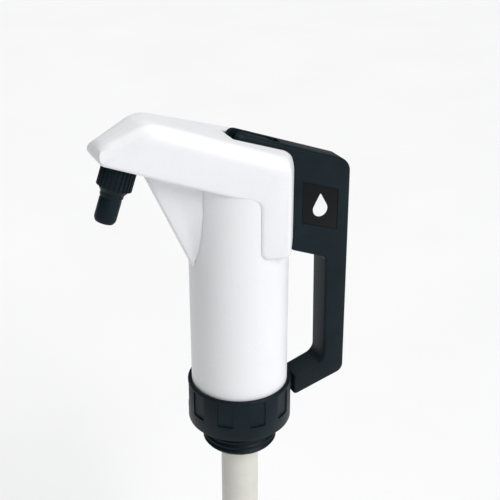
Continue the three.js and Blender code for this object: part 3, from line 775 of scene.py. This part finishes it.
    def hollow(self, piece: bpy.types.Object) -> None:
        """Cut the spout's passage, the lever space, the lever slot and the barrel's seat."""
        w = self.skin
        nose_x, nose_top_x, nose_top_z = self.nose
        part_x = self.part_x
        wet = Bench.plate("wet", [
            (nose_x + w + 1.4, self.under(nose_x + w) + w, 3), (nose_top_x + w, nose_top_z - 2, 3),
            (self.brow[0] + 0.6, self.brow[1] - w - 0.3, 6), (part_x - w, self.top(part_x - w) - w, 0),
            (part_x - w, self.under(part_x - w) + w, 0)], -60, 60)
        self.carve_sides(wet, w)
        dry = Bench.plate("dry", [
            (part_x, self.under(part_x) + w, 0), (part_x, self.top(part_x) - w, 0),
            (self.back_x - w, self.top(self.back_x - w) - w, 0), (self.back_x - w, self.cheek_z + w, 0),
            (3, self.cheek_z + w, 0), (3, self.under(3) + w, 0)], -60, 60)
        self.carve_sides(dry, w)
        duct = self.web("duct", 2.6)
        Bench.carve(duct, (0, 0, 146), (0, 0, -1))
        for tool in (wet, dry, duct, self.barrel_room("seat", 0.3)):
            Bench.combine(piece, tool, Join.CUT)
        slot = Bench.block("slot", (self.slot_x, -self.slot_half_w, 100), (60, self.slot_half_w, 300))
        Bench.combine(piece, slot, Join.CUT)
        outlet = Bench.bar("outlet", self.outlet_r, -20, 8)
        Bench.put(outlet, outlet_place())
        Bench.combine(piece, outlet, Join.CUT)

    def barrel_room(self, name: str, grow: float) -> bpy.types.Object:
        """Space the barrel fills: tall in front, low behind."""
        room = Bench.bar(name, self.barrel_r + grow, 0, 240, sides=160)
        back = 3 + grow
        over = Bench.plate("over", [
            (-60, self.under(-60) + self.wall + grow, 0), (-60, 260, 0), (60, 260, 0),
            (60, self.rim_z + grow, 0), (back, self.rim_z + grow, 0),
            (back, self.under(3) + self.wall + grow, 0)], -60, 60)
        Bench.combine(room, over, Join.CUT)
        return room

    def lug(self) -> bpy.types.Object:
        """Ear inside each half that holds the pivot pin."""
        x, z = self.pivot
        near = self.slot_half_w + 0.3
        ear = Bench.bar("ear", self.ear_r, near, 25)
        Bench.put(ear, Matrix.Translation((x, 0, z)) @ Matrix.Rotation(math.pi / 2, 4, "X"))
        rib = Bench.block("rib", (x - self.ear_r, -16, 194), (self.back_x - 1.6, -near, 212))
        Bench.combine(ear, rib, Join.ADD)
        pin = Bench.bar("pin", self.pin_r, 0, 21.3)
        Bench.put(pin, Matrix.Translation((x, 0, z)) @ Matrix.Rotation(math.pi / 2, 4, "X"))
        Bench.combine(ear, pin, Join.CUT)
        self.carve_sides(ear, 1.4)
        return ear

    def shells(self) -> None:
        """Left and right halves, with the moulding seam between them."""
        whole = self.outer()
        self.hollow(whole)
        Bench.carve(whole, (0, -self.seam, 0), (0, 1, 0))
        Bench.combine(whole, self.lug(), Join.ADD)
        whole.name = whole.data.name = "head_left"
        right = Bench.copy(whole, "head_right", MIRROR)
        Bench.done(whole, WHITE, "pump", ["head_shell_left"])
        Bench.done(right, WHITE, "pump", ["head_shell_right"])

    def barrel(self) -> None:
        """Barrel tube with its thread, rim and outlet port."""
        crest, pitch = self.barrel_r - 0.1, 6.0
        thread = [point for turn in range(3) for point in (
            (self.land_r, 19 + turn * pitch), (crest, 19.6 + turn * pitch),
            (crest, 20.6 + turn * pitch), (self.land_r, 21.2 + turn * pitch))]
        tube = Bench.turned("barrel_tube", [
            (self.bore_r, self.foot_z), (self.land_r, self.foot_z), *thread, (self.land_r, 36.2),
            (self.barrel_r - 0.3, 36.5), (self.barrel_r, 36.8), (self.barrel_r, 230),
            (self.shoulder_r, 230), (self.shoulder_r, self.shoulder_z), (self.bore_r, self.shoulder_z),
            (self.bore_r, self.foot_z)], 160)
        for x in (-self.barrel_r, self.barrel_r):
            low, high = sorted((x * 0.99, x * 1.008))
            Bench.combine(tube, Bench.block("seam", (low, -0.45, 38.5), (high, 0.45, 139)), Join.ADD)
        Bench.combine(tube, self.barrel_room("room", 0.0), Join.KEEP)
        Bench.combine(tube, Bench.block("port", (-40, -6, 147), (-29, 6, 156.4)), Join.CUT)
        Bench.done(tube, WHITE, "pump", ["barrel"])


def outlet_place() -> Matrix:
    """Place of a part made about Z, hanging from z = 0, on the spout's outlet axis."""
    head = Head()
    hang = Matrix.Translation((OUTLET_X, 0, head.under(OUTLET_X)))
    return hang @ Matrix.Rotation(math.atan(head.slope), 4, "Y")


# ---------------------------------------------------------------- outlet


@dataclass
class Outlet:
    """Ribbed nut and nozzle under the spout."""

    nut_r: float = 12.8
    nut_h: float = 20.0
    ribs: int = 24
    bore_r: float = 9.7
    nozzle_r: float = 8.5
    nozzle_bore: float = 5.0
    end: float = 42.6

    def nut(self) -> None:
        """Nut with raised grip ribs and a coned foot."""
        h = self.nut_h
        core = self.nut_r - 0.9
        hole = self.nozzle_r + 0.3
        body = Bench.turned("outlet_nut_body", [
            (self.bore_r, -0.8), (core - 0.3, -0.8), (core, -1.2), (core, -2.4), (core, -h + 4.6),
            (core - 2.4, -h + 0.6), (core - 2.9, -h), (hole, -h), (hole, -h + 2.4),
            (self.bore_r, -h + 2.4), (self.bore_r, -0.8)], self.ribs * 6)
        rib = Bench.block("rib", (core - 0.6, -0.75, -h + 3.2), (self.nut_r, 0.75, -1.4))
        Bench.round_edges(rib, lambda e: all(v.co.x > core * MM for v in e.verts), 0.5, 3)
        for at in range(self.ribs):
            turn = Matrix.Rotation(2 * math.pi * at / self.ribs, 4, "Z")
            Bench.combine(body, Bench.copy(rib, "rib_copy", turn), Join.ADD)
        bpy.data.objects.remove(rib, do_unlink=True)
        Bench.put(body, outlet_place())
        Bench.done(body, BLACK, "outlet_nut", ["outlet_nut"])

    def nozzle(self) -> None:
        """Nozzle with a collar ring, a slight waist and a rolled mouth."""
        flange = -self.nut_h + 2.7
        r, end = self.nozzle_r, self.end
        body = Bench.turned("nozzle_tube", [
            (self.nozzle_bore, flange + 1.8), (9.4, flange + 1.8), (9.4, flange), (r - 0.02, flange),
            (r - 0.02, -self.nut_h - 3.0), (r - 0.3, -self.nut_h - 3.5), (r - 0.75, -self.nut_h - 3.9),
            (r - 0.75, -self.nut_h - 4.6), (r - 0.5, -self.nut_h - 5.2), (r - 0.5, -end + 3.4),
            (r - 0.7, -end + 2.2), (r - 1.3, -end + 0.9), (r - 2.0, -end),
            (self.nozzle_bore + 0.4, -end),
            (self.nozzle_bore, -end + 0.6), (self.nozzle_bore, flange + 1.8)])
        Bench.put(body, outlet_place())
        Bench.done(body, BLACK, "pump", ["nozzle"])


# ---------------------------------------------------------------- lever


@dataclass
class Lever:
    """Black lever: fork, plate, grip and hooked leg, with a recessed label on each side."""

    half_w: float = 11.0
    spine_x: float = 89.4
    grip_x: float = 70.6
    top_z: float = 243.2
    top_slope: float = 0.368
    tip_x: float = -6.5
    foot: tuple[float, float] = (43.8, 12.3)
    leg: float = 18.0
    leg_slope: float = 0.3
    pivot: tuple[float, float] = (28.0, 213.0)
    crank_r: float = 22.0
    crank_turn: float = 137.0
    crank_hole_r: float = 3.15
    bush_r: float = 6.65
    fork_half_w: float = 4.9
    label: tuple[tuple[float, float], ...] = (
        (47.6, 199.6), (78.2, 188.4), (78.2, 155.2), (47.6, 165.6))
    pocket: float = 0.9
    edge_r: float = 2.2

    def leg_z(self, x: float) -> float:
        """Height of the leg's underside."""
        return self.foot[1] + self.leg_slope * (x - self.foot[0])

    def arm(self) -> None:
        """The lever moulding."""
        top = self.spine_x - 1
        tip = self.top_z - self.top_slope * (self.tip_x + 3)
        body = Bench.plate("lever_arm", [
            (self.tip_x, tip, 6), (top, self.top_z - self.top_slope * (top + 3), 11),
            (self.spine_x, self.leg_z(self.spine_x), 7),
            (*self.foot, 3), (self.foot[0], self.foot[1] + self.leg, 3),
            (self.grip_x + 0.4, self.leg_z(self.grip_x) + self.leg + 1.4, 9),
            (self.grip_x - 1, 144.3 - 0.385 * (self.grip_x - 40), 5), (40, 144.3, 3), (40, 166, 3),
            (15, 166, 6), (6, 205, 10), (self.tip_x, tip - 16, 4)], -self.half_w, self.half_w, 8)
        Bench.soften(body, self.edge_r, 4, 40)
        fork = Bench.plate("fork", [
            (-50, 150, 0), (5.4, 150, 0), (5.4, 200, 0), (22, 210, 0), (32, 219, 0), (32, 290, 0),
            (-50, 290, 0)], -self.fork_half_w, self.fork_half_w)
        Bench.combine(body, fork, Join.CUT)
        for side in (-1, 1):
            edge = side * self.half_w
            y0, y1 = sorted((edge + side, edge - side * self.pocket))
            well = Bench.plate("well", [(x, z, 1.2) for x, z in self.label], y0, y1, 4)
            Bench.combine(body, well, Join.CUT)
        for (x, z), r in ((self.pivot, self.bush_r), (self.crank(), self.crank_hole_r)):
            hole = Bench.bar("hole", r, -20, 20)
            Bench.put(hole, Matrix.Translation((x, 0, z)) @ Matrix.Rotation(math.pi / 2, 4, "X"))
            Bench.combine(body, hole, Join.CUT)
        Bench.done(body, BLACK, "lever", ["lever"])

    def crank(self) -> tuple[float, float]:
        """Axis of the crank pin."""
        turn = math.radians(self.crank_turn)
        x, z = self.pivot
        return x + self.crank_r * math.cos(turn), z + self.crank_r * math.sin(turn)

    def labels(self) -> None:
        """Label plates with a plain drop mark."""
        cx = sum(x for x, _ in self.label) / 4
        cz = sum(z for _, z in self.label) / 4
        inset = [(x - math.copysign(0.3, x - cx), z - math.copysign(0.3, z - cz), 1.0)
                 for x, z in self.label]
        y1 = -self.half_w + self.pocket - 0.15
        plate = Bench.plate("label_plate_left", inset, y1 - 0.6, y1, 4)
        Bench.soften(plate, 0.15, 2)
        right = Bench.copy(plate, "label_plate_right", MIRROR)
        Bench.done(plate, PLATE, "lever", ["label_left"])
        Bench.done(right, PLATE, "lever", ["label_right"])
        drop = self.drop_mark("drop_mark_left", cx, cz, y1 - 0.6)
        Bench.done(Bench.copy(drop, "drop_mark_right", MIRROR), MARK, "lever")
        Bench.done(drop, MARK, "lever")

    def drop_mark(self, name: str, x: float, z: float, y: float) -> bpy.types.Object:
        """Raised print of a liquid drop.

        Args:
            name: object name.
            x: centre.
            z: centre.
            y: face of the label plate.

        Returns:
            The mark.
        """
        size, low = 6.2, z - 2.2
        tip = (x, low + size * 2.05, 0.5)
        bowl = [(x + size * math.sin(math.radians(a)), low - size * math.cos(math.radians(a)), 0)
                for a in range(-125, 126, 10)]
        return Bench.plate(name, [tip, *reversed(bowl)], y - 0.05, y + 0.02, 3)


# ---------------------------------------------------------------- drum fitting


@dataclass
class Fitting:
    """Ribbed collar, threaded adaptor and gasket."""

    collar_r: float = 41.2
    low: float = 2.0
    high: float = 38.0
    inner_r: float = 38.35
    panels: int = 10
    panel_depth: float = 1.3
    neck_r: float = 30.4
    thread_r: float = 29.8
    thread_depth: float = 1.5
    thread_z: float = -20.0
    turns: int = 4

    def collar(self) -> None:
        """Collar with recessed grip panels round it."""
        r, bore = self.collar_r, self.inner_r
        teeth = [point for turn in (1, 0) for point in (
            (bore, 24 + turn * 6), (36.8, 23.6 + turn * 6),
            (36.8, 22.9 + turn * 6), (bore, 22.5 + turn * 6))]
        body = Bench.turned("collar_ring", [
            (39.0, self.low), (r - 1.4, self.low), (r - 0.4, self.low + 0.4), (r, self.low + 1.4),
            (r, self.high - 1.2), (r - 0.35, self.high - 0.4), (r - 1.0, self.high),
            (bore + 0.3, self.high), (bore, self.high - 0.3), *teeth, (bore, 9.2),
            (self.neck_r + 0.4, 9.2), (self.neck_r + 0.4, 5.4), (39.0, 5.4), (39.0, self.low)], 160)
        height = (self.high - self.low) * 0.6
        half = math.pi * r / self.panels * 0.5
        top = self.high - 2.4
        well = Bench.block("well", (r - self.panel_depth, -half, top - height), (r + 5, half, top))
        Bench.round_edges(well, lambda e: abs(e.verts[0].co.x - e.verts[1].co.x) > 1e-4, 1.2, 3)
        for at in range(self.panels):
            turn = Matrix.Rotation(2 * math.pi * (at + 0.4) / self.panels, 4, "Z")
            Bench.combine(body, Bench.copy(well, "well_copy", turn), Join.CUT)
        bpy.data.objects.remove(well, do_unlink=True)
        Bench.done(body, BLACK, "collar", ["bung_collar"])

    def adaptor(self) -> None:
        """Threaded adaptor that screws into the bung."""
        root, crest = self.thread_r - self.thread_depth, self.thread_r
        step = (self.low - 0.3 - self.thread_z - 3) / self.turns
        thread = []
        for turn in range(self.turns):
            z = self.thread_z + 0.8 + turn * step
            thread += [(root, z), (crest - 0.15, z + step * 0.32), (crest, z + step * 0.38),
                       (crest, z + step * 0.46), (crest - 0.15, z + step * 0.52),
                       (root, z + step * 0.85)]
        body = Bench.turned("bung_adaptor_body", [
            (15.5, self.thread_z), (root - 0.5, self.thread_z), (root, self.thread_z + 0.5), *thread,
            (root, 2.1), (38.4, 2.1), (38.4, 5.1), (self.neck_r, 5.1), (self.neck_r, 9.6), (35.6, 9.6),
            (35.6, 13), (12.5, 13), (12.5, 8.3), (15.5, 8.3), (15.5, self.thread_z)], 128)
        Bench.done(body, BLACK, "pump", ["bung_adaptor"])
        gasket = Bench.turned("bung_gasket_ring", [
            (30.2, 0), (36.6, 0), (36.9, 0.3), (37, 0.7), (37, 1.4), (36.9, 1.8), (36.7, 2), (30, 2),
            (30, 0.2), (30.2, 0)], 128)
        Bench.done(gasket, RUBBER, "pump", ["bung_gasket"])


# ---------------------------------------------------------------- suction tube


@dataclass
class SuctionTube:
    """Telescopic tube in three sections, with its caps and the foot strainer."""

    radii: tuple[float, ...] = (15.2, 12.6, 10.0)
    heads: tuple[float, ...] = (8.0, -14.0, -23.0)
    feet: tuple[float, ...] = (-300.0, -316.0, -332.0)
    wall: float = 1.6
    names: tuple[str, ...] = ("upper_tube", "middle_tube", "lower_tube")
    bodies: tuple[str, ...] = ("pump", "middle_section", "lower_section")

    def sections(self) -> None:
        """The three sliding sections."""
        for at, (r, head, foot) in enumerate(zip(self.radii, self.heads, self.feet)):
            bead = [(r, head - 3.4), (r + 0.4, head - 3), (r + 0.4, head)] if at else [(r, head)]
            body = Bench.turned(self.names[at] + "_wall", [
                (r - self.wall, foot), (r - 0.2, foot), (r, foot + 0.2), *bead, (r - self.wall, head),
                (r - self.wall, foot)])
            Bench.done(body, NATURAL, self.bodies[at], [self.names[at]])

    def caps(self) -> None:
        """Guide caps on the feet of the two outer sections."""
        for at in (0, 1):
            r, foot, bore = self.radii[at], self.feet[at], self.radii[at + 1] + 0.15
            rings = [point for z in (2.2, 4.6, 7.0) for point in (
                (r + 2.2, foot + z), (r + 1.8, foot + z + 0.3),
                (r + 1.8, foot + z + 0.9), (r + 2.2, foot + z + 1.2))]
            body = Bench.turned(self.names[at] + "_cap_ring", [
                (bore, foot - 3), (r + 1.6, foot - 3), (r + 2.2, foot - 2.2), *rings,
                (r + 2.2, foot + 11), (r + 1.6, foot + 12), (r + 0.15, foot + 12),
                (r + 0.15, foot - 0.15), (bore, foot - 0.15), (bore, foot - 3)])
            Bench.done(body, BLACK, self.bodies[at], [self.names[at] + "_cap"])

    def strainer(self) -> None:
        """Slotted strainer on the lowest section."""
        r, foot = self.radii[2], self.feet[2]
        top = foot + 4
        body = Bench.turned("strainer_cup", [
            (r + 0.15, top), (r + 1.6, top), (r + 2, top - 0.5), (r + 2, top - 25.4),
            (r + 1.4, top - 27), (r - 1, top - 30), (0, top - 30), (0, top - 28), (r - 2.4, top - 28),
            (r - 2.4, foot - 0.15),
            (r + 0.15, foot - 0.15), (r + 0.15, top)])
        for row in range(3):
            for at in range(4):
                slit = Bench.block("slit", (-20, -1.5, -2.5), (20, 1.5, 2.5))
                Bench.round_edges(slit, lambda e: abs(e.verts[0].co.x - e.verts[1].co.x) > 1e-3, 1.2, 3)
                Bench.put(slit, Matrix.Translation((0, 0, top - 11 - row * 7))
                          @ Matrix.Rotation(math.pi * at / 4, 4, "Z"))
                Bench.combine(body, slit, Join.CUT)
        Bench.done(body, BLACK, "lower_section", ["foot_strainer"])


# ---------------------------------------------------------------- studio


@dataclass
class Studio:
    """Pale floor, soft light and the camera."""

    eye: tuple[float, float, float] = (-276.9, -625.4, 467.4)
    turn: float = -24.6
    tilt: float = 25.03
    lens: float = 72.0
    floor_gap: float = 0.3
    sky: float = 0.075
    lamps: tuple[tuple[float, float, float, float], ...] = (
        (-68.0, 36.0, 2.35, 40.0), (90.0, 78.0, 1.85, 60.0))

    def camera(self) -> None:
        """Camera at the chosen viewing angle."""
        data = bpy.data.cameras.new("camera")
        data.lens, data.sensor_width = self.lens, 36.0
        data.clip_end = 50.0
        camera = bpy.data.objects.new("camera", data)
        bpy.context.collection.objects.link(camera)
        camera.location = Vector(self.eye) * MM
        camera.rotation_euler = (math.radians(90 - self.tilt), 0, math.radians(self.turn))
        bpy.context.scene.camera = camera

    def floor(self) -> None:
        """Plain pale floor under the strainer."""
        Bench.clear()
        low = CAD_BOX[0][2] - self.floor_gap * MM
        bpy.ops.mesh.primitive_plane_add(size=40.0, location=(0, 0, low))
        plane = Bench.name_it("floor")
        s = Shader("floor_paint")
        s.feed(Base_Color=s.tone(s.noise(3.0), (0.88, 0.88, 0.885), (0.9, 0.9, 0.905)), Roughness=0.75)
        plane.data.materials.append(s.material)

    def lights(self) -> None:
        """Broad soft lights, given as bearing, height, strength and spread, and a pale sky."""
        for number, (bearing, height, power, spread) in enumerate(self.lamps):
            data = bpy.data.lights.new(f"lamp_{number}", "SUN")
            data.energy, data.angle = power, math.radians(spread)
            lamp = bpy.data.objects.new(data.name, data)
            bpy.context.collection.objects.link(lamp)
            round_z, up = math.radians(bearing), math.radians(height)
            ray = Vector((math.cos(round_z) * math.cos(up), math.sin(round_z) * math.cos(up),
                          math.sin(up)))
            lamp.location = ray * 2
            lamp.rotation_euler = (-ray).to_track_quat("-Z", "Y").to_euler()
        world = bpy.data.worlds.new("sky")
        bpy.context.scene.world = world
        world.use_nodes = True
        back = world.node_tree.nodes["Background"]
        back.inputs["Color"].default_value = (0.97, 0.98, 1.0, 1.0)
        back.inputs["Strength"].default_value = self.sky
        bpy.context.scene.view_settings.view_transform = "Standard"


def dress_inner_parts() -> None:
    """Finishes of the CAD nodes that stay as they are."""
    Finishes.coat(["outlet_spigot", "gland_plate", "gland_retainer", "lever_bush_left",
                   "lever_bush_right", "piston", "foot_valve_cage"], NATURAL)
    Finishes.coat(["crosshead"], BLACK)
    Finishes.coat(["nozzle_gasket", "rod_seal", "piston_seal", "piston_valve_disc", "union_seal",
                   "foot_valve_disc"], RUBBER)
    Finishes.coat(["pivot_pin", "crank_pin", "piston_rod", "valve_stop", "piston_nut"], STEEL)


def main() -> None:
    """Build the pump, its finishes and the studio."""
    logging.basicConfig(level=logging.INFO, format="%(name)s %(message)s")
    studio = Studio()
    studio.camera()
    studio.floor()
    studio.lights()
    head = Head()
    head.shells()
    head.barrel()
    outlet = Outlet()
    outlet.nut()
    outlet.nozzle()
    lever = Lever()
    lever.arm()
    lever.labels()
    fitting = Fitting()
    fitting.collar()
    fitting.adaptor()
    tube = SuctionTube()
    tube.sections()
    tube.caps()
    tube.strainer()
    dress_inner_parts()
    Bench.clear()


if __name__ == "__main__":
    main()
